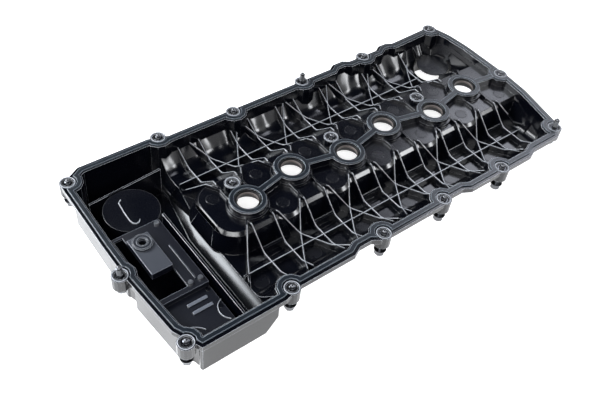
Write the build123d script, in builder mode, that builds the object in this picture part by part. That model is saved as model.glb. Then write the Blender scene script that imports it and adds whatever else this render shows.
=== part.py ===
from build123d import *
from math import atan2, cos, degrees, hypot, radians, tan
import os

# Engine valve cover, lying on its outside with the engine side up, in millimetres.
# z = 0 is the sealing plane, X runs along the plug row, the origin is the middle of that row.

# Plug row: the bores of a narrow-angle six stand in a zigzag
plug_count = 6
bore_pitch = 65.0
bore_stagger = 13.7
tower_r = 19.4
collar_r = 22.0
collar_drop = 6.5
well_r = 14.5
link_width = 6.6

# Wall, floors and decks: depths are below the sealing plane
wall = 3.0
floor_depth = 34.0
deck_depth = 10.0
deck_front = -33.0
deck_back = 37.0
deck_left = -203.0
deck_right = 214.0
deck_corner_r = 22.0
deck_draft = 17.0
deck_rim = 3.5
deck_rim_angle = 45.0
scallop_r = 17.0
scallop_reach = 6.0
chamber_depth = 48.0
chamber_wall_x = -208.0
chamber_draft = 38.0
chamber_bend = 11.0
chamber_bend_y = 12.0
dome_depth = 13.0
dome_r = 28.5
dome_x = -261.0
dome_y = 52.0

# Flange
flange_left = -310.0
flange_right = 225.0
flange_front = -121.5
flange_back = 115.5
chamber_front = -127.0
chamber_back = 122.5
flange_thickness = 6.0
flange_width = 9.5
flange_jog = 5.0
wall_foot = 92.0
wall_head = 120.0
end_foot = 196.0
wall_bend_r = 18.0
end_bend_r = 12.0

# Seals
gasket_proud = 1.6
gasket_width = 4.4
gasket_lip = 1.6
gasket_lane = 7.0
plug_gasket_r = 18.8
link_land = 0.4
seal_play = 0.1
seal_recess = 2.6
seal_height = 4.0
seal_lip_r = 11.0

# Captive bolts and their bosses; repeated small rounds are many-sided
small_round = 12
boss_round = 16
boss_r = 8.6
boss_length = 14.5
row_bolt_reach = 27.8
row_boss_drop = 5.0
bolt_r = 3.0
bolt_tip_r = 2.2
bolt_tip_length = 2.5
bolt_tip_proud = 3.0
bolt_head_r = 5.6
bolt_head_sides = 6
bolt_head_height = 5.5
bolt_washer_r = 6.4
bolt_washer_height = 1.6
bolt_travel = 8.4
bolt_gap = 0.2
bush_r = 5.8
bush_play = 0.3
bush_recess = 2.2

# Ribs
rib_wall = 2.0
rib_pair = 13.0
rib_cross_y = 55.5
rib_cross_angle = 31.0
rib_cross_start = 20.0
long_rib_y = 68.6
long_rib_left = -212.0
long_rib_back_end = 150.0
long_rib_front_end = 188.0
rib_floor_height = 7.0
rib_deck_height = 4.0
rib_deck_run = 22.0
rib_wall_run = 8.0
tie_rib_y = 52.0

# Oil filler
filler_x = 184.5
filler_y = 76.5
filler_r = 23.3
filler_bore_r = 24.5
filler_wall = 3.0
filler_collar_drop = 12.0
splash_r = 20.5
splash_thickness = 1.6
splash_height = 8.0
splash_tab_width = 6.0

# Oil separator in the chamber
divider_x = -241.0
divider_wall = 2.4
divider_drop = 5.0
cross_wall_x = -251.0
cross_wall_y = 83.0
cross_wall_length = 84.0
cross_wall_turn = 4.4
cross_wall_drop = 12.0
plate_left = -300.0
plate_right = -247.0
plate_front = -64.0
plate_back = 24.0
plate_play = 0.3
plate_thickness = 2.6
plate_drop = 8.0
plate_ledge = 3.0
platform_width = 22.0
platform_length = 47.0
platform_height = 5.0
platform_x = -277.0
platform_y = -12.0
shelf_front = -110.0
shelf_drop = 14.0
shelf_bar_length = 20.5
shelf_bar_width = 3.0
shelf_bar_height = 1.2
shelf_bar_x = -265.7
shelf_bars_y = (-77.0, -86.2)
valve_r = 10.0
valve_hole_r = 4.0
valve_height = 2.6
valve_y = 1.0
screw_r = 1.4
screw_play = 0.2
screw_head_r = 2.6
screw_head_height = 2.0
screw_length = 8.0
screw_inset = 4.5
screw_front_x = -262.0
screw_boss_r = 3.6

# Crankcase pressure valve under the dome
vent_cap_thickness = 2.5
vent_cap_play = 0.2
diaphragm_thickness = 1.5

# Positions worked out from the sizes above
row = [((i - (plug_count - 1) / 2) * bore_pitch, (i % 2 - 0.5) * bore_stagger) for i in range(plug_count)]
gaps = [(row[i][0] + row[i + 1][0]) / 2 for i in range(plug_count - 1)]
row_bolts = [(x, y + row_bolt_reach) for x, y in row[::2]]
end_bolt = (220.0, -0.2)
flange_bolts = [
    (-300.2, 108.4),
    (-191.6, 119.2),
    (-100.2, 112.0),
    (-1.3, 114.9),
    (93.7, 114.7),
    (208.7, 115.4),
    end_bolt,
    (199.7, -104.0),
    (96.3, -116.2),
    (8.2, -115.0),
    (-76.0, -115.8),
    (-191.1, -118.6),
    (-300.5, -114.4),
    (-312.5, -21.3),
]
bolts = flange_bolts + row_bolts
flange_points = [
    (flange_left + 18, chamber_front),
    (-203, chamber_front),
    (-182, flange_front),
    (-117, flange_front),
    (-107, flange_front + flange_jog),
    (-92, flange_front + flange_jog),
    (-84, flange_front),
    (14, flange_front),
    (18, flange_front + flange_jog),
    (36, flange_front + flange_jog),
    (46, flange_front),
    (140, flange_front),
    (152, flange_front + flange_jog),
    (192, flange_front + flange_jog),
    (208, -101),
    (flange_right - 3, -40),
    (flange_right, -8),
    (flange_right, 62),
    (flange_right - 3, 92),
    (214, 119),
    (144, flange_back + 1),
    (136, flange_back + flange_jog),
    (124, flange_back + flange_jog),
    (116, flange_back),
    (73, flange_back),
    (65, flange_back + flange_jog),
    (50, flange_back + flange_jog),
    (42, flange_back),
    (-181, flange_back),
    (-203, chamber_back),
    (-283, chamber_back),
    (flange_left + 2, 108),
    (flange_left, 20),
    (flange_left, -30),
    (flange_left + 5, -98),
]
flange_top = -gasket_proud
flange_bottom = flange_top - flange_thickness
tower_top = flange_top
boss_bottom = flange_top - boss_length
row_boss_bottom = -deck_depth - wall - row_boss_drop
divider_length = dome_y - dome_r - chamber_front - flange_width
filler_length = chamber_depth - filler_collar_drop
filler_bore_length = chamber_depth - floor_depth
vent_r = dome_r - wall - vent_cap_play
plate_top = -plate_drop
plate_bottom = plate_top - plate_thickness
shelf_bottom = -shelf_drop - plate_thickness
plate_x = (plate_left + plate_right) / 2
plate_width = plate_right - plate_left
platform_left = platform_x - platform_width / 2
platform_front = platform_y - platform_length / 2
raised_bolts = [flange_bolts[3], flange_bolts[7], flange_bolts[13]]
hanging_bolts = [spot for spot in flange_bolts if spot not in raised_bolts]
bolt_sets = [
    (hanging_bolts, boss_bottom, 0),
    (raised_bolts, boss_bottom, bolt_travel),
    (row_bolts, row_boss_bottom, 0),
]
screws = [
    (plate_right - screw_inset, plate_front + screw_inset),
    (plate_right - screw_inset, plate_back - screw_inset),
    (screw_front_x, plate_front + screw_inset),
]
above = 5.0
long_x = flange_right - flange_left


# Flange outline without its bosses
with BuildSketch() as outline:
    with BuildLine():
        Polyline(*flange_points, close=True)
    make_face()


def tub_plan(grow):
    """Plan of the tub's opening, which steps inwards round each boss, grown outwards by grow."""
    with BuildSketch() as plan:
        add(outline.sketch)
        offset(amount=grow - flange_width, kind=Kind.INTERSECTION)
        with Locations(*flange_bolts):
            RegularPolygon(boss_r + gasket_lane - grow, small_round, mode=Mode.SUBTRACT)
    return plan.sketch


def chamber_points(grow):
    """Corners of the ventilation chamber, its right-hand wall moved out by grow."""
    right = chamber_wall_x + grow
    return [
        (right, 2 * chamber_front),
        (right, chamber_bend_y),
        (right + chamber_bend, long_rib_y),
        (right + chamber_bend, 2 * chamber_back),
        (2 * flange_left, 2 * chamber_back),
        (2 * flange_left, 2 * chamber_front),
    ]


def chamber(grow, top):
    """Ventilation chamber, upright down to the bay floor, its right-hand wall sloping below that."""
    with BuildPart() as pit:
        with BuildSketch(Plane.XY.offset(-floor_depth)) as plan:
            with BuildLine():
                Polyline(*chamber_points(grow), close=True)
            make_face()
        extrude(amount=top + floor_depth)
        extrude(plan.sketch, amount=floor_depth - chamber_depth - grow, taper=chamber_draft)
        with BuildSketch(Plane.XY.offset(top)):
            add(tub_plan(grow))
        extrude(amount=-chamber_depth - grow - top, mode=Mode.INTERSECT)
    return pit.part


def deck(grow):
    """Block under the plug row, pulled in by grow: chamfered rim, sloping sides, scalloped edges."""
    rows = (deck_front + scallop_r - scallop_reach, deck_back - scallop_r + scallop_reach)
    corners = (deck_front + deck_corner_r, deck_back - deck_corner_r)
    stages = [
        (0, deck_rim, deck_rim_angle),
        (deck_rim, floor_depth - deck_depth - deck_rim, deck_draft),
    ]
    with BuildPart() as block:
        for drop, height, angle in stages:
            level = -deck_depth - grow - drop
            spread = drop * tan(radians(deck_rim_angle)) - grow
            reach = spread + height * tan(radians(angle))
            with BuildSketch(Plane.XY.offset(level)):
                with Locations((deck_left + deck_corner_r, deck_front - spread)):
                    Rectangle(
                        deck_right - deck_left - deck_corner_r,
                        deck_back - deck_front + 2 * spread,
                        align=(Align.MIN, Align.MIN),
                    )
            extrude(amount=-height, taper=-angle)
            with BuildSketch(Plane.XY.offset(level)):
                with Locations((deck_left - spread, corners[0])):
                    Rectangle(deck_right - deck_left, corners[1] - corners[0], align=(Align.MIN, Align.MIN))
            extrude(amount=-height, taper=-angle)
            with Locations(*[(deck_left + deck_corner_r, y, level) for y in corners]):
                Cone(
                    deck_corner_r + reach,
                    deck_corner_r + spread,
                    height,
                    align=(Align.CENTER, Align.CENTER, Align.MAX),
                )
            with Locations(*[(x, y, level) for x in gaps for y in rows]):
                Cone(
                    scallop_r + reach,
                    scallop_r + spread,
                    height,
                    align=(Align.CENTER, Align.CENTER, Align.MAX),
                )
    return block.part


def hollow(grow, top):
    """The space inside the cover up to z = top as a solid, grown outwards into the wall by grow."""
    depth = floor_depth + grow
    with BuildPart() as space:
        with BuildSketch(Plane.XY.offset(top)):
            add(tub_plan(grow))
        extrude(amount=-depth - top)
        slope = (wall_head - wall_foot) / (floor_depth + flange_top)
        with BuildSketch(Plane.YZ):
            with BuildLine():
                FilletPolyline(
                    (-wall_head - above * slope - grow, above),
                    (-wall_foot - grow, -depth),
                    (wall_foot + grow, -depth),
                    (wall_head + above * slope + grow, above),
                    radius=(0, wall_bend_r + grow, wall_bend_r + grow, 0),
                    close=True,
                )
            make_face()
        extrude(amount=long_x, both=True, mode=Mode.INTERSECT)
        with BuildSketch(Plane.XZ):
            with BuildLine():
                FilletPolyline(
                    (flange_left, above),
                    (flange_left, -depth),
                    (end_foot + grow, -depth),
                    (flange_right + grow, above),
                    radius=(0, 0, end_bend_r + grow, 0),
                    close=True,
                )
            make_face()
        extrude(amount=long_x, both=True, mode=Mode.INTERSECT)
        add(chamber(grow, top))
        add(deck(grow), mode=Mode.SUBTRACT)
        # Dome of the pressure valve in the chamber
        with Locations((dome_x, dome_y, -dome_depth - grow)):
            Cylinder(
                dome_r - grow,
                chamber_depth,
                align=(Align.CENTER, Align.CENTER, Align.MAX),
                mode=Mode.SUBTRACT,
            )
    return space.part


# Lines of the link walls between the towers and out to the end bolt
stops = row + [end_bolt]
links = [(a, b) for a, b in zip(stops, stops[1:])]


def link_bars(width):
    """Straight bars of the given width from each tower centre to the next stop."""
    for a, b in links:
        with Locations(((a[0] + b[0]) / 2, (a[1] + b[1]) / 2)):
            Rectangle(
                hypot(b[0] - a[0], b[1] - a[1]),
                width,
                rotation=degrees(atan2(b[1] - a[1], b[0] - a[0])),
            )


# Ribs: pairs across each tower with a short tie, crossing pairs between the towers, a long one in each bay
rib_reach = wall_head
cross_mid = (rib_cross_start + rib_reach) / 2
cross_length = (rib_reach - rib_cross_start) / cos(radians(rib_cross_angle))
cross_shift = (cross_mid - rib_cross_y) * tan(radians(rib_cross_angle))
end_gap = bore_pitch * plug_count / 2
forward_legs = [-end_gap] + gaps
backward_legs = gaps + [end_gap]
rib_floor_z = rib_floor_height - floor_depth
rib_deck_z = rib_deck_height - deck_depth

with BuildPart() as inner_walls:
    with BuildSketch():
        with Locations(*[(x + side * rib_pair, 0) for x, y in row for side in (-1, 1)]):
            Rectangle(rib_wall, 2 * rib_reach)
        for side in (-1, 1):
            with Locations(*[(x - cross_shift, side * cross_mid) for x in forward_legs]):
                Rectangle(rib_wall, cross_length, rotation=side * rib_cross_angle)
            with Locations(*[(x + cross_shift, side * cross_mid) for x in backward_legs]):
                Rectangle(rib_wall, cross_length, rotation=-side * rib_cross_angle)
        with Locations(*[(x, -tie_rib_y) for x, y in row]):
            Rectangle(2 * rib_pair, rib_wall)
        with Locations((long_rib_left, long_rib_y)):
            Rectangle(long_rib_back_end - long_rib_left, rib_wall, align=(Align.MIN, Align.CENTER))
        with Locations((long_rib_left, -long_rib_y)):
            Rectangle(long_rib_front_end - long_rib_left, rib_wall, align=(Align.MIN, Align.CENTER))
        with BuildLine():
            Polyline(*chamber_points(0), close=True)
        make_face(mode=Mode.SUBTRACT)
    extrude(amount=-floor_depth - wall)
    # The rib tops dip with the trough: deck height at the towers, low on the floor, high at the walls
    with BuildSketch(Plane.YZ):
        with BuildLine():
            Polyline(
                (-wall_head, -floor_depth - wall),
                (wall_head, -floor_depth - wall),
                (wall_head, rib_deck_z),
                (wall_foot - rib_wall_run, rib_floor_z),
                (deck_back + rib_deck_run, rib_floor_z),
                (deck_back, rib_deck_z),
                (deck_front, rib_deck_z),
                (deck_front - rib_deck_run, rib_floor_z),
                (rib_wall_run - wall_foot, rib_floor_z),
                (-wall_head, rib_deck_z),
                close=True,
            )
        make_face()
    extrude(amount=long_x, both=True, mode=Mode.INTERSECT)

    # Plug towers with their collars, joined by link walls, and the bosses beside them
    with BuildSketch(Plane.XY.offset(-deck_depth - wall / 2)):
        with Locations(*row):
            Circle(collar_r)
    extrude(amount=deck_depth + wall / 2 - collar_drop)
    with BuildSketch(Plane.XY.offset(-deck_depth - wall / 2)):
        with Locations(*row):
            Circle(tower_r)
        link_bars(link_width)
        with Locations(*row_bolts):
            RegularPolygon(boss_r, boss_round)
    extrude(amount=deck_depth + wall / 2 + tower_top)
    # Walls in the chamber: divider, back wall, frames and screw bosses under the separator plate
    with BuildSketch(Plane.XY.offset(-chamber_depth - wall / 2)):
        with Locations((divider_x, chamber_front + flange_width + wall / 2)):
            Rectangle(divider_wall, divider_length, align=(Align.CENTER, Align.MIN))
    extrude(amount=chamber_depth + wall / 2 - divider_drop)
    with BuildSketch(Plane.XY.offset(-chamber_depth - wall / 2)):
        with Locations((cross_wall_x, cross_wall_y)):
            Rectangle(cross_wall_length, rib_wall, rotation=cross_wall_turn)
    extrude(amount=chamber_depth + wall / 2 - cross_wall_drop)
    with BuildSketch(Plane.XY.offset(-chamber_depth - wall / 2)):
        with Locations((plate_x, (plate_front + plate_back) / 2)):
            Rectangle(plate_width, plate_back - plate_front)
            Rectangle(
                plate_width - 2 * plate_ledge,
                plate_back - plate_front - 2 * plate_ledge,
                mode=Mode.SUBTRACT,
            )
        with Locations(*screws):
            RegularPolygon(screw_boss_r, small_round)
    extrude(amount=chamber_depth + wall / 2 + plate_bottom)
    with BuildSketch(Plane.XY.offset(-chamber_depth - wall / 2)):
        with Locations((plate_right, shelf_front), (plate_right, plate_front)):
            Rectangle(plate_width, plate_ledge, align=(Align.MAX, Align.MAX))
        with Locations((plate_right, plate_front)):
            Rectangle(plate_ledge, plate_front - shelf_front, align=(Align.MAX, Align.MAX))
    extrude(amount=chamber_depth + wall / 2 + shelf_bottom)

# What is cut out of the cover: the space inside, without the walls in it
with BuildPart() as cavity:
    add(hollow(0, above))
    add(inner_walls.part, mode=Mode.SUBTRACT)

with BuildPart() as cover_shell:
    add(hollow(wall, flange_bottom + flange_thickness / 2))
    # Filler neck, flange and bosses
    with Locations((filler_x, filler_y, -chamber_depth - wall)):
        Cylinder(filler_bore_r + filler_wall, filler_length, align=(Align.CENTER, Align.CENTER, Align.MIN))
    with BuildSketch(Plane.XY.offset(flange_top)):
        add(outline.sketch)
    extrude(amount=-flange_thickness)
    with BuildSketch(Plane.XY.offset(flange_top)):
        with Locations(*flange_bolts):
            RegularPolygon(boss_r, boss_round)
    extrude(amount=-boss_length)
    with BuildSketch(Plane.XY.offset(-deck_depth - wall / 2)):
        with Locations(*row_bolts):
            RegularPolygon(boss_r, boss_round)
    extrude(amount=row_boss_bottom + deck_depth + wall / 2)
    add(cavity.part, mode=Mode.SUBTRACT)
    # Filler opening, plug wells, bolt holes and screw holes
    with Locations((filler_x, filler_y, -chamber_depth - wall)):
        Cylinder(filler_r, chamber_depth, align=(Align.CENTER, Align.CENTER, Align.MIN), mode=Mode.SUBTRACT)
        Cylinder(
            filler_bore_r,
            filler_bore_length,
            align=(Align.CENTER, Align.CENTER, Align.MIN),
            mode=Mode.SUBTRACT,
        )
    with Locations(*row):
        Cylinder(well_r, 4 * deck_depth, mode=Mode.SUBTRACT)
    with BuildSketch(Plane.XY.offset(flange_top)):
        with Locations(*bolts):
            RegularPolygon(bush_r, small_round)
    extrude(amount=row_boss_bottom - boss_length, mode=Mode.SUBTRACT)
    with BuildSketch(Plane.XY.offset(plate_bottom)):
        with Locations(*screws):
            RegularPolygon(screw_r, small_round)
    extrude(amount=-screw_length, mode=Mode.SUBTRACT)


# Rubber bead on the flange, inside the bosses
with BuildPart() as perimeter_gasket:
    with BuildSketch(Plane.XY.offset(flange_top)):
        add(tub_plan(gasket_lip + gasket_width))
        add(tub_plan(gasket_lip), mode=Mode.SUBTRACT)
    extrude(amount=gasket_proud)

# Rubber chain on the tower tops, its tail butting on the perimeter gasket
with BuildPart() as plug_gasket:
    with BuildSketch(Plane.XY.offset(tower_top)):
        with Locations(*row):
            Circle(plug_gasket_r)
        link_bars(link_width - 2 * link_land)
        with Locations(*row):
            Circle(well_r, mode=Mode.SUBTRACT)
        add(tub_plan(gasket_lip), mode=Mode.INTERSECT)
    extrude(amount=gasket_proud)

# Seals for the plug tubes: one bush in each well
with BuildPart() as plug_tube_seals:
    with BuildSketch(Plane.XY.offset(-seal_recess)):
        with Locations(*row):
            Circle(well_r - seal_play)
            Circle(seal_lip_r, mode=Mode.SUBTRACT)
    extrude(amount=-seal_height)

# One bush in each boss: rubber bonded round a steel limiter, gripping the bolt
with BuildPart() as bolt_bushes:
    for spots, bottom, lift in bolt_sets:
        with BuildSketch(Plane.XY.offset(bottom)):
            with Locations(*spots):
                RegularPolygon(bush_r, small_round)
                RegularPolygon(bolt_r + bush_play, small_round, mode=Mode.SUBTRACT)
        extrude(amount=-bush_recess - bottom)

# Captive bolts: three stand pushed up against their bushes, the others hang by their travel
with BuildPart() as captive_bolts:
    for spots, bottom, lift in bolt_sets:
        head_top = bottom - bolt_travel - bolt_gap + lift
        shank_top = bolt_tip_proud + lift - bolt_tip_length
        stages = [
            (head_top, bolt_r, small_round, shank_top - head_top),
            (shank_top, bolt_tip_r, small_round, bolt_tip_length),
            (head_top, bolt_washer_r, small_round, -bolt_washer_height),
            (head_top - bolt_washer_height, bolt_head_r, bolt_head_sides, -bolt_head_height),
        ]
        for level, radius, sides, height in stages:
            with BuildSketch(Plane.XY.offset(level)):
                with Locations(*spots):
                    RegularPolygon(radius, sides)
            extrude(amount=height)

# Separator plate: valve platform with a recess beside it, and a lower shelf in front with two bars
with BuildPart() as separator_plate:
    with BuildSketch(Plane.XY.offset(plate_bottom)):
        with Locations((plate_right, plate_front)):
            Rectangle(plate_width, plate_back - plate_front, align=(Align.MAX, Align.MIN))
        with Locations((plate_left + plate_ledge, plate_front + plate_ledge)):
            Rectangle(
                platform_left + platform_width - plate_left - plate_ledge,
                platform_front - plate_front - plate_ledge,
                align=(Align.MIN, Align.MIN),
                mode=Mode.SUBTRACT,
            )
            Rectangle(
                platform_left - plate_left - plate_ledge,
                plate_back - plate_front - 2 * plate_ledge,
                align=(Align.MIN, Align.MIN),
                mode=Mode.SUBTRACT,
            )
        add(tub_plan(-plate_play), mode=Mode.INTERSECT)
        with Locations(*screws):
            RegularPolygon(screw_r + screw_play, small_round, mode=Mode.SUBTRACT)
    extrude(amount=plate_thickness)
    with BuildSketch(Plane.XY.offset(plate_top)):
        with Locations((platform_x, platform_y)):
            Rectangle(platform_width, platform_length)
    extrude(amount=platform_height)
    with Locations((platform_x, valve_y, plate_top)):
        Cylinder(valve_hole_r, 4 * platform_height, mode=Mode.SUBTRACT)
    with BuildSketch(Plane.XY.offset(shelf_bottom)):
        with Locations((plate_right, shelf_front)):
            Rectangle(plate_width, plate_front - shelf_front, align=(Align.MAX, Align.MIN))
        add(tub_plan(-plate_play), mode=Mode.INTERSECT)
    extrude(amount=plate_thickness)
    with BuildSketch(Plane.XY.offset(-shelf_drop)):
        with Locations(*[(shelf_bar_x, y) for y in shelf_bars_y]):
            Rectangle(shelf_bar_length, shelf_bar_width)
    extrude(amount=shelf_bar_height)
    # Riser that joins the shelf to the plate
    with BuildSketch(Plane.XY.offset(shelf_bottom)):
        with Locations((plate_right, plate_front)):
            Rectangle(plate_width, plate_thickness, align=(Align.MAX, Align.MAX))
        add(tub_plan(-plate_play), mode=Mode.INTERSECT)
    extrude(amount=plate_top - shelf_bottom)

# Ring valve on the platform
with BuildPart() as drain_valve:
    with BuildSketch(Plane.XY.offset(plate_top + platform_height)):
        with Locations((platform_x, valve_y)):
            Circle(valve_r)
            Circle(valve_hole_r, mode=Mode.SUBTRACT)
    extrude(amount=valve_height)

# Screws that hold the separator plate
with BuildPart() as separator_screws:
    with BuildSketch(Plane.XY.offset(plate_top)):
        with Locations(*screws):
            RegularPolygon(screw_head_r, small_round)
    extrude(amount=screw_head_height)
    with BuildSketch(Plane.XY.offset(plate_top)):
        with Locations(*screws):
            RegularPolygon(screw_r, small_round)
    extrude(amount=-screw_length)

# Splash disc over the filler opening, held by two tabs on the wall of the neck
with BuildPart() as filler_splash_disc:
    with BuildSketch(Plane.XY.offset(splash_height - floor_depth)):
        with Locations((filler_x, filler_y)):
            Circle(splash_r)
            Rectangle(filler_r, splash_tab_width, align=(Align.MIN, Align.CENTER))
            Rectangle(splash_tab_width, filler_r, align=(Align.CENTER, Align.MIN))
            Circle(filler_r, mode=Mode.INTERSECT)
    extrude(amount=splash_thickness)

# Pressure valve under the dome, closed by a cap on the outside
with BuildPart() as vent_cap:
    with Locations((dome_x, dome_y, -chamber_depth - wall)):
        Cylinder(vent_r, vent_cap_thickness, align=(Align.CENTER, Align.CENTER, Align.MIN))
with BuildPart() as vent_diaphragm:
    with Locations((dome_x, dome_y, -chamber_depth - wall + vent_cap_thickness)):
        Cylinder(vent_r, diaphragm_thickness, align=(Align.CENTER, Align.CENTER, Align.MIN))

pieces = {
    "cover_shell": cover_shell.part,
    "perimeter_gasket": perimeter_gasket.part,
    "plug_gasket": plug_gasket.part,
    "plug_tube_seals": plug_tube_seals.part,
    "bolt_bushes": bolt_bushes.part,
    "captive_bolts": captive_bolts.part,
    "separator_plate": separator_plate.part,
    "drain_valve": drain_valve.part,
    "separator_screws": separator_screws.part,
    "filler_splash_disc": filler_splash_disc.part,
    "vent_cap": vent_cap.part,
    "vent_diaphragm": vent_diaphragm.part,
}

os.makedirs("parts", exist_ok=True)
for name, piece in pieces.items():
    piece.label = name
    export_step(piece, f"parts/{name}.step")
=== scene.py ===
# %% [markdown]
# An engine valve cover lies on its outside, so we look into it the way the cylinder head does.
# The CAD model gives every piece its place; this script dresses it, lights it and looks at it.
# The box of the CAD model is kept from the start, because nothing that we add may stand out of it.

# %% Frame
import bpy
import bmesh
import numpy as np
from mathutils import Matrix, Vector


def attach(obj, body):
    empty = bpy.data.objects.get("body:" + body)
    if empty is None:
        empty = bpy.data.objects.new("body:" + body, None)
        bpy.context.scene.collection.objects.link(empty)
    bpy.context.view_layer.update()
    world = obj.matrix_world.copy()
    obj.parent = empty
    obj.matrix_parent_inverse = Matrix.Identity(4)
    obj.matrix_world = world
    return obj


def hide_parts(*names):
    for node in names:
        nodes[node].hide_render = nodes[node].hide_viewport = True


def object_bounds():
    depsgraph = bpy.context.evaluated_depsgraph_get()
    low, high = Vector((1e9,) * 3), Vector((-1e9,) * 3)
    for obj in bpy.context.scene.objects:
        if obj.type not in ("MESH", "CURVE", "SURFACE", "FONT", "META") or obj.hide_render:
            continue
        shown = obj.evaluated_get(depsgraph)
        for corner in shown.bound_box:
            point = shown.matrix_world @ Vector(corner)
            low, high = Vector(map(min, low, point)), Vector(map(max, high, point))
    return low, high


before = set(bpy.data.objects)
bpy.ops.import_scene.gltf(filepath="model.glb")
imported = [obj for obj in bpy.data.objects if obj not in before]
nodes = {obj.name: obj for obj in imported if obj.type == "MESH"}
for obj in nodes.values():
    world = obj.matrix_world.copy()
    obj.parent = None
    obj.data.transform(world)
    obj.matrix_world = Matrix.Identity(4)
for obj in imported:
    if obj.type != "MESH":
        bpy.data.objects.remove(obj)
cad_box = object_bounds()
print("CAD nodes:", ", ".join(sorted(nodes)))

# %% [markdown]
# These places are shared with the CAD model and are in millimetres.
# The plug row is a zigzag, so its six centres come from a pitch and a stagger.
# The bolts go through bosses on the flange and beside every second plug well.
# Three bolts of the flange are pushed up in their bushes, and the others hang down.

# %% Places
MM = 0.001
WELLS = 6
PITCH = 65.0
STAGGER = 13.7
FLANGE_TOP = -1.6
BOSS_BOTTOM = -16.1
ROW_BOSS_BOTTOM = -18.0
ROW_BOLT_Y = 27.8
TRAVEL = 8.4
PUSHED_UP = (3, 7, 13)
DOME = (-261.0, 52.0)

well = np.arange(WELLS)
row = np.column_stack([(well - (WELLS - 1) / 2) * PITCH, (well % 2 - 0.5) * STAGGER])
gaps = (row[1:, 0] + row[:-1, 0]) / 2
row_end = WELLS / 2 * PITCH
crossings = np.r_[-row_end, gaps]
flange_spots = np.array([
    (-300.2, 108.4), (-191.6, 119.2), (-100.2, 112.0), (-1.3, 114.9), (93.7, 114.7),
    (208.7, 115.4), (220.0, -0.2), (199.7, -104.0), (96.3, -116.2), (8.2, -115.0),
    (-76.0, -115.8), (-191.1, -118.6), (-300.5, -114.4), (-312.5, -21.3),
])
row_spots = row[::2] + (0.0, ROW_BOLT_Y)
spots = np.vstack([flange_spots, row_spots])
bottoms = np.repeat([BOSS_BOTTOM, ROW_BOSS_BOTTOM], [len(flange_spots), len(row_spots)])
lifts = np.where(np.isin(np.arange(len(spots)), PUSHED_UP), TRAVEL, 0.0)
print("bolts:", len(spots), "plug wells:", len(row))

# %% [markdown]
# Most small pieces of a cover are turned or moulded, so each is a grid of points P[u, v].
# Blender's own cylinders and cones could be joined instead, but they leave seams and caps to clean up.
# A grid that closes on itself round an axis has neither, and whole arrays keep each piece one formula.

# %% Grids
WELD = 1e-6
SHARP = np.radians(35)


def grid_mesh(name, points, wrap_u=True, wrap_v=False):
    """Mesh from grids P[k, u, v]: quad (u, v) joins P[u, v], P[u+1, v], P[u+1, v+1], P[u, v+1]."""
    count, nu, nv = points.shape[:3]
    us, vs = np.arange(nu if wrap_u else nu - 1), np.arange(nv if wrap_v else nv - 1)
    u, v = np.meshgrid(us, vs, indexing="ij")
    u1, v1 = (u + 1) % nu, (v + 1) % nv
    quads = np.stack([u * nv + v, u1 * nv + v, u1 * nv + v1, u * nv + v1], axis=-1).reshape(-1, 4)
    quads = (quads[None] + (np.arange(count) * nu * nv)[:, None, None]).reshape(-1, 4)
    mesh = bpy.data.meshes.new(name)
    mesh.from_pydata((points.reshape(-1, 3) * MM).tolist(), [], quads.tolist())
    welded = bmesh.new()
    welded.from_mesh(mesh)
    bmesh.ops.remove_doubles(welded, verts=welded.verts, dist=WELD)
    welded.to_mesh(mesh)
    welded.free()
    mesh.polygons.foreach_set("use_smooth", np.ones(len(mesh.polygons), dtype=bool))
    mesh.set_sharp_from_angle(angle=SHARP)
    return mesh


def build(name, points, material, wrap_u=True, wrap_v=False):
    """Piece of the part: the mesh of its grids in one material, riding on the only body."""
    mesh = grid_mesh(name, points, wrap_u, wrap_v)
    mesh.materials.append(material)
    piece = bpy.data.objects.new(name, mesh)
    bpy.context.collection.objects.link(piece)
    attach(piece, "root")
    print(name, "faces:", len(mesh.polygons))
    return piece


print("mesh makers: grid_mesh, build")

# %% [markdown]
# Two kinds of grid are enough: a section turned about an axis, and a bar swept along a path.
# A section is a short list of (radius, height), so a ring and a disc differ only in that list.
# A bar's path gets a point of no width at both ends, which closes it without a cap.

# %% Sections and bars
def turned(profile, centres, sides=40):
    """P = (x + r cos a, y + r sin a, z) for each (r, z) of the profile about each centre (x, y)."""
    a = np.linspace(0, 2 * np.pi, sides, endpoint=False)[None, :, None]
    r, z = np.asarray(profile, float).T
    x, y = np.asarray(centres, float).T[:, :, None, None]
    grid = np.broadcast_arrays(x + r * np.cos(a), y + r * np.sin(a), z + 0 * a)
    return np.stack(grid, axis=-1)


def ring(inner, outer, low, high, cut):
    """Closed section of a ring, up the outside and down the inside, its four corners cut off by cut."""
    return [
        (outer, low + cut), (outer, high - cut), (outer - cut, high), (inner + cut, high),
        (inner, high - cut), (inner, low + cut), (inner + cut, low), (outer - cut, low),
    ]


def disc(radius, low, high, cut):
    """Section of a disc, from the middle of its underside out and up to the middle of its top."""
    return [(0, low), (radius, low), (radius, high - cut), (radius - cut, high), (0, high)]


def beam(path, width, depth):
    """Bar along path (x, y, z): corners at path +- width / 2 across it in plan, at z and at z - depth."""
    path = np.asarray(path, float)
    step = np.gradient(path[:, :2], axis=0)
    step /= np.linalg.norm(step, axis=1, keepdims=True)
    across = np.column_stack([-step[:, 1], step[:, 0], 0 * step[:, 0]]) * width / 2
    across = np.vstack([0 * across[:1], across, 0 * across[-1:]])
    path = np.vstack([path[:1], path, path[-1:]])
    down = np.array([0, 0, depth])
    corners = [path - across - down, path - across, path + across, path + across - down]
    return np.stack(corners, axis=1)[None]


def build_bars(name, grids, material):
    """Piece of several beams: each grid is open along its path and closed round it."""
    return build(name, np.concatenate(grids), material, wrap_u=False, wrap_v=True)


print("grid makers: turned, ring, disc, beam")

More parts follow.
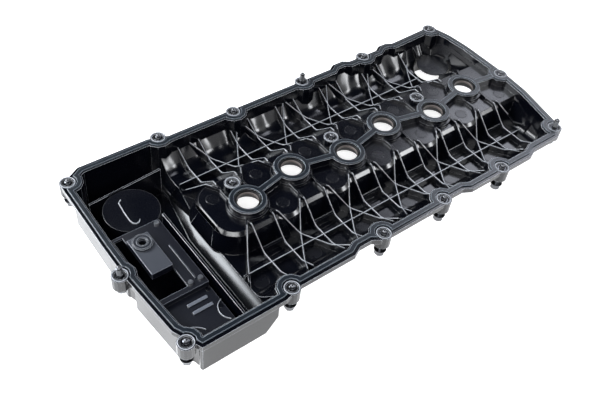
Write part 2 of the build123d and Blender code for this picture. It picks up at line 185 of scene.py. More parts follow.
# %% [markdown]
# Paint is worked out in node trees, and sums of sockets read best as plain arithmetic.
# Nodes could be made and linked one by one, but then the sums would be hard to see.
# Socket wraps one output, so that a + b, 1 - a and a * b each make one Math node.

# %% Sockets
class Socket:
    """One output of a node, with arithmetic that adds Math nodes to its tree."""

    def __init__(self, paint, output):
        self.paint = paint
        self.output = output

    def maths(self, kind, other, swapped=False):
        pair = (other, self) if swapped else (self, other)
        return self.paint.node("Math", dict(enumerate(pair)), operation=kind)

    def __add__(self, other):
        return self.maths("ADD", other)

    def __sub__(self, other):
        return self.maths("SUBTRACT", other)

    def __rsub__(self, other):
        return self.maths("SUBTRACT", other, swapped=True)

    def __mul__(self, other):
        return self.maths("MULTIPLY", other)

    __radd__ = __add__
    __rmul__ = __mul__

    def clipped(self):
        return self.paint.node("Clamp", {"Value": self})

    def rising(self, low, high):
        """0 below low, 1 above high and a smooth step between them."""
        limits = {"Value": self, "From Min": low, "From Max": high}
        return self.paint.node("MapRange", limits, interpolation_type="SMOOTHSTEP")

    def falling(self, low, high):
        """1 below low and 0 above high."""
        return 1.0 - self.rising(low, high)


print("socket sums: +, -, *, clipped, rising, falling")

# %% [markdown]
# Paint makes a node from its kind, its inputs and its settings, and ends in one Principled shader.
# Every finish here needs the same few helpers: noise, a mix of two colours, a mask for highlights painted on
# edges and a fine grain.
# All of them read the object's own coordinates, so a pattern needs no image and no unwrapping.

# %% Paint
BEVEL_SAMPLES = 6
OPEN_SAMPLES = 4
OPEN_REACH = 0.003
OPEN_SHARE = (0.75, 0.95)
EDGE_HIGHLIGHT_GAIN = 6.0
GRAIN_DETAIL = 2.0
GRAIN_DEPTH = 0.0002


class Paint:
    """One procedural material: node() makes each node, shade() ends it in a Principled shader."""

    def __init__(self, name):
        self.material = bpy.data.materials.new(name)
        self.material.use_nodes = True
        self.tree = self.material.node_tree
        self.tree.nodes.clear()
        self.place = self.node("TexCoord", output="Object")

    def node(self, kind, inputs=None, output=0, **settings):
        made = self.tree.nodes.new("ShaderNode" + kind)
        for key, value in settings.items():
            setattr(made, key, value)
        for key, value in (inputs or {}).items():
            if isinstance(value, Socket):
                self.tree.links.new(value.output, made.inputs[key])
            else:
                made.inputs[key].default_value = value
        return Socket(self, made.outputs[output]) if made.outputs else made

    def noise(self, scale, detail):
        return self.node("TexNoise", {"Vector": self.place, "Scale": scale, "Detail": detail})

    def mixed(self, share, low, high):
        return self.node("MixRGB", {"Fac": share, "Color1": (*low, 1.0), "Color2": (*high, 1.0)})

    def axes(self, vector):
        return [self.node("SeparateXYZ", {"Vector": vector}, output=axis) for axis in "XYZ"]

    def bevel(self, radius):
        return self.node("Bevel", {"Radius": radius}, samples=BEVEL_SAMPLES)

    def edge_highlight_mask(self, radius):
        """Mask of outer edges where a highlight is painted: bevel normal n leaves face normal f by 1 - n.f,
        and nothing is close by.
        """
        face = self.node("NewGeometry", output="Normal")
        pair = {0: self.bevel(radius), 1: face}
        along = self.node("VectorMath", pair, output="Value", operation="DOT_PRODUCT")
        reach = {"Distance": OPEN_REACH}
        open_air = self.node("AmbientOcclusion", reach, output="AO", samples=OPEN_SAMPLES, only_local=True)
        return ((1.0 - along) * EDGE_HIGHLIGHT_GAIN).clipped() * open_air.rising(*OPEN_SHARE)

    def grained(self, scale, strength, **normal):
        grain = {"Height": self.noise(scale, GRAIN_DETAIL), "Strength": strength}
        return self.node("Bump", {**grain, "Distance": GRAIN_DEPTH, **normal})

    def shade(self, **inputs):
        named = {key.replace("_", " "): value for key, value in inputs.items()}
        self.node("OutputMaterial", {"Surface": self.node("BsdfPrincipled", named)})
        return self.material


print("paint helpers: noise, mixed, axes, bevel, worn, grained, shade")

# %% [markdown]
# The shell is glass-filled nylon, deep black and semi-gloss as it leaves the mould.
# Broad flow marks vary its gloss, a fine grain breaks up reflections, and a pale highlight is painted on its
# outer edges.
# The small radius on each edge could be modelled, but at this size it shows only as a bright line.
# A bevel normal gives that line without a face, and the same bevel marks where the pale highlight is painted,
# so the CAD mesh stays as it is.

# %% Nylon
EDGE_RADIUS = 0.0011
LINE_RADIUS = 0.0005
FLOW_SCALE = 22.0
FLOW_DETAIL = 4.0
FLOW_TINT = 0.004
FLOW_GLOSS = 0.16
NYLON_GRAIN = 2600.0
NYLON_IOR = 1.55


def nylon(name, base, edge, gloss, grain=0.03, relief=None, edges=None, painted_sheen=None):
    """Colour from base to edge, a painted highlight, by the highlight lines x edges + painted sheen on tops +
    flow; roughness is gloss + flow.
    """
    paint = Paint(name)
    flow = paint.noise(FLOW_SCALE, FLOW_DETAIL)
    normal = paint.bevel(EDGE_RADIUS)
    if relief:
        bump = {"Height": relief(paint), "Normal": normal, "Strength": 1.0, "Distance": 1.0}
        normal = paint.node("Bump", bump)
    lines = paint.edge_highlight_mask(LINE_RADIUS)
    if edges:
        lines = lines * edges(paint)
    if painted_sheen:
        lines = lines + painted_sheen(paint)
    share = (lines + (flow - 0.5) * FLOW_TINT).clipped()
    return paint.shade(
        Base_Color=paint.mixed(share, base, edge),
        Roughness=flow * FLOW_GLOSS + gloss,
        Normal=paint.grained(NYLON_GRAIN, grain, Normal=normal),
        IOR=NYLON_IOR,
    )


print("nylon grain:", NYLON_GRAIN, "per metre")

# %% [markdown]
# The tub's walls and rib tops are gently rounded, and its bay walls are fluted by the mould's cutter.
# The CAD model has flat faces there, and bending them would cost many more triangles.
# A bump is enough, because the roundness shows only in where the reflections lie.
# Masks pick the faces by place in metres and by the parts of their normal, each over a narrow band.

# %% Tub relief
STEEP = (0.3, 0.4)
LEVEL = (0.93, 0.97)
FLAT = (0.97, 0.99)
FACING_LEFT = (-0.5, -0.3)
BAY_SIDE = np.square((0.072, 0.074))
BAY_LEFT = (-0.206, -0.204)
BAY_RIGHT = (0.184, 0.186)
END_WALL = (0.188, 0.190)
CHAMBER_RIGHT = (-0.207, -0.204)
RIM_LOW = (-0.0145, -0.0135)
RIM_HIGH = (-0.0098, -0.0090)
FLOOR_TOP = (-0.0337, -0.0333)
FLOOR_BACK = (-0.060, -0.058)
BAY_LEAN = 0.05
END_LEAN = 0.28
RIB_LEAN = 0.40
FLOOR_LEAN = 0.06
CHAMBER_LEAN = -0.70
CHAMBER_BEND = -22.0
CHAMBER_MIDDLE = 0.038
FLUTE_PITCH = 0.040
FLUTE_DEPTH = 0.0015
SWIRL_SCALE = 30.0
SWIRL_DETAIL = 1.0
SWIRL_TURN = 3.0


def tub_relief(paint):
    """Height: z lean on sloping faces, y lean on the front floor, f sin(2 pi x / p) on the bay walls
    and d (b d + l) on the chamber's wall, where d is the height over its middle."""
    x, y, z = paint.axes(paint.place)
    toward_x, _, rise = paint.axes(paint.node("NewGeometry", output="True Normal"))
    sloping = rise.rising(*STEEP) * rise.falling(*LEVEL)
    outside = (y * y).rising(*BAY_SIDE)
    end_wall = sloping * x.rising(*END_WALL)
    bay_wall = sloping * outside * x.falling(*BAY_RIGHT) * x.rising(*BAY_LEFT)
    deck_rim = z.rising(*RIM_LOW) * z.falling(*RIM_HIGH)
    rib_top = sloping * (1.0 - outside) * (1.0 - deck_rim)
    chamber_wall = sloping * x.falling(*CHAMBER_RIGHT) * toward_x.falling(*FACING_LEFT)
    front_floor = rise.rising(*FLAT) * z.falling(*FLOOR_TOP) * y.falling(*FLOOR_BACK)
    swirl = paint.noise(SWIRL_SCALE, SWIRL_DETAIL)
    flute = (x * (2 * np.pi / FLUTE_PITCH) + swirl * SWIRL_TURN).maths("SINE", 0.0)
    depth = z + CHAMBER_MIDDLE
    round_edge = depth * (depth * CHAMBER_BEND + CHAMBER_LEAN)
    lean = bay_wall * BAY_LEAN + end_wall * END_LEAN + rib_top * (1.0 - chamber_wall) * RIB_LEAN
    walls = chamber_wall * round_edge + bay_wall * flute * FLUTE_DEPTH
    return z * lean + front_floor * y * FLOOR_LEAN + walls


print("flutes every", FLUTE_PITCH / MM, "mm")

# %% [markdown]
# Pale highlights are painted on the flange's edges, and a painted sheen on the faces that stand proud of the
# plate.
# The edge highlights are left out down in the tub, where thin crests draw the ribs instead, and on the dome.
# Highlights could be painted by hand, but a mask by place needs no image and stays with the mesh.

# %% Painted highlights
TUB_TOP = (-0.0055, -0.0045)
TUB_SIDE = np.square((0.115, 0.117))
DOME_EDGE = np.square((0.030, 0.031))
HIGHLIGHT_CUT = 0.9
# The platform's top and the shelf's bars are painted lighter, a painted highlight on those tops.
PLATFORM = (-0.0036, -0.0031)
PLATFORM_SHEEN = 0.10
BAR_LOW = (-0.0133, -0.0130)
BAR_HIGH = (-0.0126, -0.0123)
BAR_BACK = (-0.0740, -0.0735)
BAR_SHEEN = 0.25


def shell_highlight_share(paint):
    """Share of the painted edge highlight that shows: 1 - mask x the cut share, with the tub and the dome's
    disc in the mask.
    """
    x, y, z = paint.axes(paint.place)
    in_tub = z.falling(*TUB_TOP) * (y * y).falling(*TUB_SIDE) * x.rising(*BAY_LEFT)
    dome_x, dome_y = x - DOME[0] * MM, y - DOME[1] * MM
    on_dome = (dome_x * dome_x + dome_y * dome_y).falling(*DOME_EDGE)
    return 1.0 - (in_tub + on_dome).clipped() * HIGHLIGHT_CUT


def plate_top_sheen(paint):
    """Share of painted sheen on the plate's tops: one part on its platform, another on the two bars of its
    shelf.
    """
    _, y, z = paint.axes(paint.place)
    platform = z.rising(*PLATFORM)
    shelf_bars = z.rising(*BAR_LOW) * z.falling(*BAR_HIGH) * y.falling(*BAR_BACK)
    return platform * PLATFORM_SHEEN + shelf_bars * BAR_SHEEN


print("painted_highlight masks: shell_highlight_share, plate_top_sheen")

# %% [markdown]
# Five nylons differ in their blacks, in the tone of the highlight painted on their edges and in their gloss.
# The crests and collars take a grey one, a highlight painted in their colour: they are too narrow for a
# reflection to show at this size.
# The separator plate and its valve come from another, duller moulding, so their grain is stronger.

# %% Nylon colours
BLACK = (0.0010, 0.0013, 0.0028)
# This pale colour is a highlight painted on the outer edges of the shell and the crests.
PALE_HIGHLIGHT = (0.78, 0.81, 0.86)
DULL_GRAIN = 0.12
shell_nylon = nylon("shell_nylon", BLACK, PALE_HIGHLIGHT, gloss=0.12, relief=tub_relief, edges=shell_highlight_share)
# The crests' grey base colour is a painted highlight, standing in for light on their thin rounded tops.
crest_highlight_nylon = nylon("crest_highlight_nylon", (0.20, 0.21, 0.23), PALE_HIGHLIGHT, gloss=0.2)
# The marks, the plate and the valve take a highlight painted on their edges as their second colour, and the
# plate one on its tops too.
mark_nylon = nylon("mark_nylon", BLACK, (0.01, 0.011, 0.013), gloss=0.18)
plate_nylon = nylon(
    "plate_nylon", (0.003, 0.0036, 0.0065), (0.34, 0.37, 0.43),
    gloss=0.24, grain=DULL_GRAIN, painted_sheen=plate_top_sheen,
)
valve_plastic = nylon(
    "valve_plastic", (0.012, 0.014, 0.019), (0.45, 0.48, 0.52),
    gloss=0.24, grain=DULL_GRAIN,
)
print("nylon materials: 5")

# %% [markdown]
# The gaskets are grey-blue rubber with a pale highlight painted on their edges; seals and bushes are black
# and the lips brown, each with a fainter painted edge highlight.
# Rubber scatters light more than nylon does, so its cloudy patches change its roughness more than its colour.

# %% Rubber
CLOUD_SCALE = 60.0
CLOUD_DETAIL = 5.0
CLOUD_TINT = 0.05
CLOUD_ROUGH = 0.2
RUBBER_GRAIN = 3400.0
RUBBER_GRAIN_STRENGTH = 0.15
RUBBER_IOR = 1.5


def rubber(name, base, edge, rough, radius=0.0009):
    """Colour from base to edge, a painted highlight, by the highlight lines + cloud; roughness is rough +
    cloud.
    """
    paint = Paint(name)
    cloud = paint.noise(CLOUD_SCALE, CLOUD_DETAIL)
    share = (paint.edge_highlight_mask(radius) + (cloud - 0.5) * CLOUD_TINT).clipped()
    return paint.shade(
        Base_Color=paint.mixed(share, base, edge),
        Roughness=cloud * CLOUD_ROUGH + rough,
        Normal=paint.grained(RUBBER_GRAIN, RUBBER_GRAIN_STRENGTH, Normal=paint.bevel(radius)),
        IOR=RUBBER_IOR,
    )


DARK_EDGE = (0.006, 0.006, 0.007)
# Each rubber's second colour is a highlight painted on its outer edges.
grey_rubber = rubber("grey_rubber", (0.004, 0.0065, 0.010), (0.42, 0.48, 0.54), rough=0.22, radius=0.0007)
seal_rubber = rubber("seal_rubber", (0.0008, 0.0008, 0.0012), DARK_EDGE, rough=0.3)
lip_rubber = rubber("lip_rubber", (0.10, 0.082, 0.074), (0.16, 0.14, 0.13), rough=0.35)
bush_rubber = rubber("bush_rubber", (0.001, 0.001, 0.0015), DARK_EDGE, rough=0.35)
membrane_rubber = rubber("membrane_rubber", (0.02, 0.02, 0.022), (0.05, 0.05, 0.055), rough=0.5)
print("rubber materials: 5")

# %% [markdown]
# The separator's screws are zinc-plated steel with cloudy patches; bolts and sleeves have a black finish.
# One noise drives both the colour and the roughness, because a cloudy patch of plating is also a dull one.

# %% Steel
PATCH_SCALE = 240.0
PATCH_DETAIL = 4.0
PATCH_ROUGH = 0.3
STEEL_GRAIN = 5200.0
STEEL_GRAIN_STRENGTH = 0.1


def steel(name, low, high, rough):
    """Metal whose colour goes from low to high and whose roughness is rough + patch."""
    paint = Paint(name)
    patch = paint.noise(PATCH_SCALE, PATCH_DETAIL)
    return paint.shade(
        Base_Color=paint.mixed(patch, low, high),
        Metallic=1.0,
        Roughness=patch * PATCH_ROUGH + rough,
        Normal=paint.grained(STEEL_GRAIN, STEEL_GRAIN_STRENGTH),
    )


zinc_steel = steel("zinc_steel", (0.22, 0.23, 0.25), (0.55, 0.56, 0.58), rough=0.15)
black_steel = steel("black_steel", (0.05, 0.052, 0.058), (0.20, 0.205, 0.215), rough=0.05)
print("steel materials: 2")

# %% [markdown]
# A captive bolt is a flanged hexagon bolt whose shank slides in its bush and cannot fall out.
# A thread could be cut with a Boolean on each bolt, but that would be slow and leave poor faces.
# So the surface is one radius function of angle and height: a hexagon low down, a climbing ridge above.
# The ridge is the thread; its height fades out at both ends, as a rolled thread does.

# %% Bolts
BOLT_R = 3.0
TIP_R = 2.2
HEAD_R = 5.6
HEAD_FACE_R = 0.84 * HEAD_R
HEAD_CUT = 0.7
HEAD_HEIGHT = 5.5
HEXAGON_ROWS = 4
WASHER_R = 6.4
WASHER_LEAN = 0.4
WASHER_EDGE = 0.5
WASHER_HEIGHT = 1.6
BUSH_GAP = 0.2
THREAD_PITCH = 1.0
THREAD_DEPTH = 0.3
THREAD_RUN = 8.0
THREAD_STEPS = 49
THREAD_FADE = 6.0
TIP_LENGTH = 2.5
TIP_PROUD = 3.0
TIP_STEPS = 7
BOLT_SIDES = 36


def bolt_grid(bottom, lift):
    """r(a, z): hexagon h / cos(a'), round, thread R - D |2 frac(z / p - a / 2 pi) - 1|, then a half ball."""
    a = np.linspace(0, 2 * np.pi, BOLT_SIDES, endpoint=False)[:, None]
    head_top = bottom - TRAVEL - BUSH_GAP + lift
    mid = head_top - WASHER_HEIGHT
    low = mid - HEAD_HEIGHT
    head_z = [low, low, low + HEAD_CUT, mid, mid, head_top - WASHER_EDGE, head_top, head_top]
    head_r = [0, HEAD_FACE_R, HEAD_R, HEAD_R, WASHER_R - WASHER_LEAN, WASHER_R, WASHER_R, BOLT_R]
    tip = TIP_PROUD + lift
    thread_z = np.linspace(tip - TIP_LENGTH - THREAD_RUN, tip - TIP_LENGTH, THREAD_STEPS)
    bend = np.linspace(0, 0.5 * np.pi, TIP_STEPS)
    z = np.r_[head_z, thread_z, tip - TIP_R * (1 - np.sin(bend))]
    r = np.r_[head_r, np.full(THREAD_STEPS, BOLT_R), TIP_R * np.cos(bend)]
    flat = HEAD_R * np.cos(np.pi / 6) / np.cos((a + np.pi / 6) % (np.pi / 3) - np.pi / 6)
    radius = np.tile(r, (BOLT_SIDES, 1))
    radius[:, :HEXAGON_ROWS] = np.minimum(flat, r[:HEXAGON_ROWS])
    from_ends = np.minimum(thread_z - thread_z[0], thread_z[-1] - thread_z) * THREAD_FADE
    fade = np.r_[np.zeros(len(head_z)), np.clip(from_ends, 0, 1), np.zeros(TIP_STEPS)]
    ridge = np.abs(2 * ((z / THREAD_PITCH - a / (2 * np.pi)) % 1.0) - 1)
    radius = radius - THREAD_DEPTH * fade * ridge
    return np.stack([radius * np.cos(a), radius * np.sin(a), np.tile(z, (BOLT_SIDES, 1))], axis=-1)


bolt_points = np.stack([bolt_grid(bottom, lift) for bottom, lift in zip(bottoms, lifts)])
bolt_points[..., :2] += spots[:, None, None]
bolts = build("bolts", bolt_points, black_steel)
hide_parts("captive_bolts")

# %% [markdown]
# Each bush is a rubber grommet moulded round a steel sleeve, which stops the bolt from crushing the nylon.
# The grommet's lips grip the shank, and that is why a loose bolt stays where it is pushed.
# A low collar of nylon round each bush keeps the rubber in its boss.
# All three are rings, so each is one section turned about the bolts.

# %% Bushes
BUSH_R = 5.8
BUSH_TOP = -2.2
SLEEVE_R = 4.4
SLEEVE_BORE = 3.3
GROMMET_CUT = 0.35
SLEEVE_CUT = 0.2
COLLAR_INNER = 6.7
COLLAR_OUTER = 7.7
COLLAR_HEIGHT = 0.7
COLLAR_SINK = 0.3
COLLAR_CUT = 0.2


def bush_rings(inner, outer, cut):
    """Ring from the bottom of each boss to the top of its bush, turned about each bolt."""
    sections = [ring(inner, outer, bottom, BUSH_TOP, cut) for bottom in bottoms]
    return np.concatenate([turned(section, [spot]) for section, spot in zip(sections, spots)])


grommet_points = bush_rings(SLEEVE_R, BUSH_R, GROMMET_CUT)
grommets = build("grommets", grommet_points, bush_rubber, wrap_v=True)
sleeve_points = bush_rings(SLEEVE_BORE, SLEEVE_R, SLEEVE_CUT)
build("sleeves", sleeve_points, black_steel, wrap_v=True)
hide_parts("bolt_bushes")
collar_low, collar_high = FLANGE_TOP - COLLAR_SINK, FLANGE_TOP + COLLAR_HEIGHT
collar_section = ring(COLLAR_INNER, COLLAR_OUTER, collar_low, collar_high, COLLAR_CUT)
# The collars' grey nylon is a highlight painted on their rims.
build("boss_collars", turned(collar_section, spots), crest_highlight_nylon, wrap_v=True)

# %% [markdown]
# A plug tube pushes into each well and is held by a lip seal: a rubber ring with a groove and a thin lip.
# The lip leans inwards, so it presses harder on the tube when oil pushes against it.
# The dark ring and its paler lip are two closed sections, each turned about the six wells.

# %% Seals
SEAL_R = 14.4
SEAL_BORE = 11.0
SEAL_LOW = -6.6
SEAL_HIGH = -2.6
SEAL_CUT = 0.4
SEAL_SIDES = 64
GROOVE_RIM = 0.9
GROOVE_FOOT = 1.2
GROOVE_Z = SEAL_HIGH - 1.6
LIP_R = 11.35
LIP_EDGE = 0.1
LIP_FALL = 0.4
LIP_FACE = 1.0
LIP_MOUTH = 0.5
LIP_MOUTH_HEIGHT = 1.6

ring_section = [
    (SEAL_R, SEAL_LOW), (SEAL_R, SEAL_HIGH - SEAL_CUT),
    (SEAL_R - SEAL_CUT, SEAL_HIGH), (SEAL_R - GROOVE_RIM, SEAL_HIGH),
    (SEAL_R - GROOVE_FOOT, GROOVE_Z), (LIP_R, GROOVE_Z), (LIP_R, SEAL_LOW),
]
lip_section = [
    (LIP_R, SEAL_LOW), (LIP_R, SEAL_HIGH - LIP_FALL - LIP_EDGE),
    (LIP_R - LIP_EDGE, SEAL_HIGH - LIP_EDGE), (SEAL_BORE + LIP_EDGE, SEAL_HIGH - LIP_FALL),
    (SEAL_BORE, SEAL_HIGH - LIP_FACE), (SEAL_BORE, SEAL_LOW + LIP_MOUTH_HEIGHT),
    (SEAL_BORE + LIP_MOUTH, SEAL_LOW),
]
ring_points = turned(ring_section, row, SEAL_SIDES)
seals = build("seal_rings", ring_points, seal_rubber, wrap_v=True)
lip_points = turned(lip_section, row, SEAL_SIDES)
build("seal_lips", lip_points, lip_rubber, wrap_v=True)
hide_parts("plug_tube_seals")

# %% [markdown]
# The moulding tool's ejector pins leave round marks on flat faces, each a low disc with a duller skin.
# They sit on the floor of the front bay, in the pockets of the plug deck and on the separator's shelf.
# A bump could draw them too, but a thin disc keeps its edge from every side.

# %% Marks
FLOOR = -34.0
DECK = -10.0
SHELF = -14.0
FLOOR_MARK_R = 8.5
DECK_MARK_R = 7.0
SHELF_MARK_R = 2.5
FLOOR_MARK_Y = -78.0
DECK_MARK_Y = (-23.0, 25.0)
DECK_END_MARKS = [(-188.0, 18.8), (198.0, -21.0)]
SHELF_MARKS = [(-250.5, -70.0), (-250.5, -92.0)]
MARK_SINK = 0.3
MARK_RISE = 0.2

floor_marks = np.column_stack([crossings, np.full(len(crossings), FLOOR_MARK_Y)])
pocket_marks = [np.column_stack([gaps, np.full(len(gaps), y)]) for y in DECK_MARK_Y]
deck_marks = np.vstack([*pocket_marks, DECK_END_MARKS])
mark_sets = [
    (floor_marks, FLOOR, FLOOR_MARK_R),
    (deck_marks, DECK, DECK_MARK_R),
    (SHELF_MARKS, SHELF, SHELF_MARK_R),
]
mark_grids = [turned(disc(r, z - MARK_SINK, z + MARK_RISE, MARK_RISE), places) for places, z, r in mark_sets]
build("ejector_marks", np.concatenate(mark_grids), mark_nylon)

# %% [markdown]
# Low ribs stiffen the dome of the pressure valve and the separator plate.
# The one on the dome runs along it and hooks back at its near end; the one on the plate is straight.
# Each is a bar swept along a few points, because a bar of its own keeps a crisp top edge.

# %% Low ribs
DOME_RIB_TOP = -11.6
DOME_RIB_WIDTH = 0.6
DOME_RIB_DEPTH = 1.7
PLATE_RIB_X = -255.5
PLATE_RIB_Y = np.array([-11.0, -34.0, -57.0])
PLATE_RIB_TOP = -6.8
PLATE_RIB_WIDTH = 1.4
PLATE_RIB_DEPTH = 1.5


def level(x, y, z):
    """Path (x, y, z) at one height z."""
    return np.column_stack([*np.broadcast_arrays(x, y, z)])


dome_line = np.array([
    (-264.0, 69.0), (-267.6, 66.4), (-269.2, 52.0), (-269.6, 40.0),
    (-268.6, 35.4), (-266.0, 33.2), (-262.8, 33.6), (-260.4, 36.4),
])
dome_grid = beam(level(*dome_line.T, DOME_RIB_TOP), DOME_RIB_WIDTH, DOME_RIB_DEPTH)
# The dome rib's grey nylon is a painted highlight on its thin top.
build_bars("dome_rib", [dome_grid], crest_highlight_nylon)
plate_path = level(PLATE_RIB_X, PLATE_RIB_Y, PLATE_RIB_TOP)
plate_grid = beam(plate_path, PLATE_RIB_WIDTH, PLATE_RIB_DEPTH)
build_bars("plate_rib", [plate_grid], plate_nylon)

# %% [markdown]
# On the separator's shelf stand two low curved walls, of the kind that makes drops settle out of oil mist.
# They are arcs in plan, so a centre, a radius and two angles say all of each.
# Two ridges on the drain valve are rings about its middle.

# %% Shelf walls and valve ridges
ARC_POINTS = 24
WALL_TOP = SHELF + 1.6
WALL_WIDTH = 0.5
WALL_DEPTH = 1.9
WALL_ARCS = [((-243.0, -99.0), 12.9, 108.0, 232.0), ((-295.0, -119.0), 23.0, 33.0, 82.0)]
VALVE = (-277.0, 1.0)
RIDGE_RADII = (5.5, 8.6)
RIDGE_HALF = 0.5
RIDGE_LOW = -0.7
RIDGE_HIGH = 0.1
RIDGE_CUT = 0.15


def arc(centre, radius, start, end):
    """Path (x + r cos a, y + r sin a) about a centre at the walls' height, a from start to end in degrees."""
    a = np.radians(np.linspace(start, end, ARC_POINTS))
    return level(centre[0] + radius * np.cos(a), centre[1] + radius * np.sin(a), WALL_TOP)


wall_grids = [beam(arc(*wall), WALL_WIDTH, WALL_DEPTH) for wall in WALL_ARCS]
# The shelf walls' grey nylon is a painted highlight on their thin tops.
build_bars("shelf_walls", wall_grids, crest_highlight_nylon)
ridges = [ring(r - RIDGE_HALF, r + RIDGE_HALF, RIDGE_LOW, RIDGE_HIGH, RIDGE_CUT) for r in RIDGE_RADII]
ridge_points = np.concatenate([turned(section, [VALVE]) for section in ridges])
build("valve_ridges", ridge_points, valve_plastic, wrap_v=True)

# %% [markdown]
# Each rib of the tub has a narrow rounded crest, because a tapered cutter makes the slot that moulds it.
# The crests show as thin light lines, drawn by a highlight painted in their grey nylon: pairs beside the
# wells, crossing legs and one along each bay.
# They follow the tops of the ribs, and a short moving mean rounds the bends of that line.

# %% Rib crests
CREST_WIDTH = 0.5
CREST_RISE = 0.3
CREST_DEPTH = 2.5
CREST_BEND = 4.0
CREST_SAMPLES = 17
CREST_POINTS = 48
RIB_Y = np.array([-120.0, -84.0, -55.0, -33.0, 37.0, 59.0, 84.0, 120.0])
RIB_Z = np.array([-6.0, -27.0, -27.0, -6.0, -6.0, -27.0, -27.0, -6.0])
PAIR = 13.0
CROSS_Y = 55.5
CROSS_SLOPE = np.tan(np.radians(31.0))
LONG_Y = 68.6
START = 31.0
FRONT, BACK = BAYS = (-1, 1)
REACH = {FRONT: 100.0, BACK: 114.0}
LEFT = {FRONT: -203.0, BACK: -196.0}
RIGHT = {FRONT: 190.0, BACK: 152.0}


def crest(x, y):
    """Bar at z = max(rib(y), mean of rib over y +- b) + rise, in plan along (x, y)."""
    window = np.linspace(-CREST_BEND, CREST_BEND, CREST_SAMPLES)[:, None]
    mean = np.interp(y + window, RIB_Y, RIB_Z).mean(axis=0)
    z = np.maximum(np.interp(y, RIB_Y, RIB_Z), mean) + CREST_RISE
    return beam(np.column_stack([x, y, z]), CREST_WIDTH, CREST_DEPTH)


def leg(middle, slope, bay):
    """Crest on x = middle + slope (|y| - c), from the deck to the wall of one bay, cut off at its ends."""
    ends = np.array([START, REACH[bay]])
    if slope:
        cuts = CROSS_Y + (np.array([LEFT[bay], RIGHT[bay]]) - middle) / slope
        ends = np.clip(ends, cuts.min(), cuts.max())
    away = np.linspace(*ends, CREST_POINTS)
    return crest(middle + slope * (away - CROSS_Y), bay * away)


def long_crest(bay):
    """Crest on y = +- l from the left to the right end of one bay."""
    return crest(np.linspace(LEFT[bay], RIGHT[bay], CREST_POINTS), np.full(CREST_POINTS, bay * LONG_Y))


pairs = (row[:, :1] + (-PAIR, PAIR)).ravel()
crests = [leg(x, 0.0, bay) for bay in BAYS for x in pairs if x < RIGHT[bay]]
crests += [leg(x, -CROSS_SLOPE, bay) for bay in BAYS for x in crossings]
crests += [leg(x, CROSS_SLOPE, bay) for bay in BAYS for x in gaps]
crests += [leg(row_end, CROSS_SLOPE, FRONT)]
crests += [long_crest(bay) for bay in BAYS]
build_bars("rib_crests", crests, crest_highlight_nylon)

# %% [markdown]
# The other pieces keep their CAD shapes and take the materials above.
# Their meshes are left as they came, because the solids already have the right form.

# %% CAD nodes
finishes = {
    "cover_shell": shell_nylon,
    "perimeter_gasket": grey_rubber,
    "plug_gasket": grey_rubber,
    "separator_plate": plate_nylon,
    "drain_valve": valve_plastic,
    "separator_screws": zinc_steel,
    "filler_splash_disc": shell_nylon,
    "vent_cap": plate_nylon,
    "vent_diaphragm": membrane_rubber,
}
for name, material in finishes.items():
    mesh = nodes[name].data
    mesh.materials.clear()
    mesh.materials.append(material)
print("dressed CAD nodes:", len(finishes))

# %% [markdown]
# The cover lies on a pale sweep: a floor that bends up into a far wall, the same background for every view.
# It is nearly white by its own colour, and glows where the camera or a reflection sees it.
# It lies a hair below the cover, because two faces at one height would flicker.

# %% Sweep
SWEEP_GAP = 0.1
SWEEP_SIDES = 96
SWEEP_LEVEL = float(cad_box[0][2]) / MM - SWEEP_GAP
SWEEP_TONES = ((0.80, 0.80, 0.80), (0.82, 0.82, 0.82))
SWEEP_PATCHES = 3.0
SWEEP_DETAIL = 2.0
SWEEP_ROUGH = 0.9
DARK = (0, 0, 0)
GLOW = (0.85, 0.85, 0.85)
sweep_profile = np.array([
    (5000, 3000), (5000, 900), (4700, 200), (4000, 0), (2500, 0), (900, 0), (0, 0),
], float)
sweep_profile[:, 1] += SWEEP_LEVEL
pale = Paint("pale_sweep")
tone = pale.mixed(pale.noise(SWEEP_PATCHES, SWEEP_DETAIL), *SWEEP_TONES)
seen = [pale.node("LightPath", output=f"Is {kind} Ray") for kind in ("Camera", "Glossy", "Transmission")]
glow = pale.mixed((seen[0] + seen[1] + seen[2]).clipped(), DARK, GLOW)
pale_sweep = pale.shade(Base_Color=tone, Roughness=SWEEP_ROUGH, Emission_Color=glow, Emission_Strength=1.0)
sweep_mesh = grid_mesh("sweep", turned(sweep_profile, [(0.0, 0.0)], SWEEP_SIDES))
sweep_mesh.materials.append(pale_sweep)
sweep = bpy.data.objects.new("sweep", sweep_mesh)
bpy.context.collection.objects.link(sweep)
print("sweep level:", round(SWEEP_LEVEL, 2), "mm")

# %% [markdown]
# Each bright patch of the photo tells where a lamp stood: in the mirror direction of the camera on that face.
# The high lamp draws the strip along the chamber's wall, and the front lamp the back wall and the far rims.
# One on the far right greys the floor at that end.
# The other four stand in an arc from the left to the near corner and draw the chamfer of the deck's rim.

# %% Light
SKY = (0.018, 0.023, 0.042, 1.0)
WHITE = (0.97, 0.98, 1.0)
COOL = (0.95, 0.97, 1.0)
COLD = (0.90, 0.95, 1.0)
BLUE = (0.86, 0.89, 1.0)


def lamp(name, place, size, power, colour):
    """Area lamp turned to the origin: its axes are side, up and the direction back from the origin."""
    data = bpy.data.lights.new(name, "AREA")
    data.shape = "RECTANGLE"
    data.size, data.size_y = size
    data.energy = power
    data.color = colour
    back = np.array(place) / np.linalg.norm(place)
    side = np.cross((0, 0, 1.0), back)
    side /= np.linalg.norm(side)
    turn = np.eye(4)
    turn[:3] = np.column_stack([side, np.cross(back, side), back, place])
    light = bpy.data.objects.new(name, data)
    light.matrix_world = Matrix(turn.tolist())
    bpy.context.collection.objects.link(light)


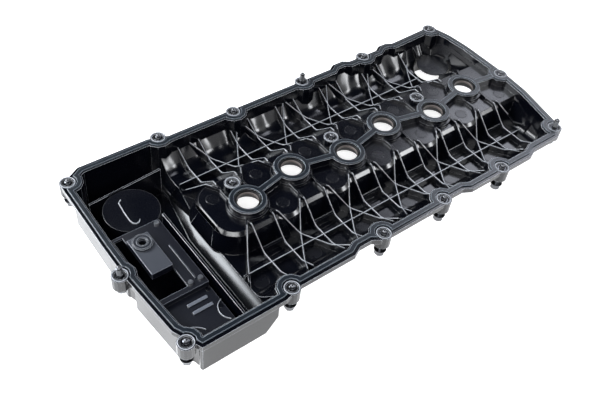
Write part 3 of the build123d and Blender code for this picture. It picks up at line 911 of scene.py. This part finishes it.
lamp("left_lamp", place=(-1.05, 0.70, 0.62), size=(0.5, 0.4), power=14.0, colour=COOL)
lamp("high_lamp", place=(-0.62, 0.86, 0.99), size=(0.6, 0.55), power=17.0, colour=COLD)
lamp("front_lamp", place=(0.78, -0.88, 0.66), size=(0.46, 0.36), power=8.5, colour=COOL)
lamp("right_lamp", place=(1.13, 0.34, 1.04), size=(0.74, 0.54), power=6.0, colour=BLUE)
lamp("near_lamp", place=(-0.95, -0.58, 0.95), size=(0.6, 0.4), power=8.0, colour=WHITE)
lamp("side_lamp", place=(-1.32, 0.14, 0.80), size=(0.5, 0.4), power=6.0, colour=WHITE)
lamp("corner_lamp", place=(-0.66, -0.98, 0.92), size=(0.5, 0.4), power=6.0, colour=WHITE)
world = bpy.data.worlds.new("studio")
world.use_nodes = True
world.node_tree.nodes["Background"].inputs["Color"].default_value = SKY
bpy.context.scene.world = world
bpy.context.scene.view_settings.view_transform = "Standard"
print("lamps:", len(bpy.data.lights))

# %% [markdown]
# The camera stands where a camera fitted to the plug wells and bolts of the photo stood.
# Its turn is written as a rotation vector, turned into a matrix by the Rodrigues formula.
# That vector is what a fit finds, and the formula is short enough to read.

# %% Camera
FOCAL_PIXELS = 772.6427
IMAGE_WIDTH = 600
SENSOR = 36.0
TURN_VECTOR = np.array([2.3112356, -0.7364434, 0.4054103])
SHIFT = np.array([72.69999, -70.15994, 850.44002])
angle = np.linalg.norm(TURN_VECTOR)
x, y, z = TURN_VECTOR / angle
cross = np.array([[0, -z, y], [z, 0, -x], [-y, x, 0]])
turn = np.eye(3) + np.sin(angle) * cross + (1 - np.cos(angle)) * cross @ cross
pose = np.eye(4)
pose[:3, :3] = turn.T @ np.diag([1.0, -1.0, -1.0])
pose[:3, 3] = -turn.T @ SHIFT * MM
camera_data = bpy.data.cameras.new("camera")
camera_data.sensor_width = SENSOR
camera_data.lens = FOCAL_PIXELS / IMAGE_WIDTH * SENSOR
camera = bpy.data.objects.new("camera", camera_data)
camera.matrix_world = Matrix(pose.tolist())
bpy.context.collection.objects.link(camera)
bpy.context.scene.camera = camera
print("camera at", pose[:3, 3].round(3).tolist())
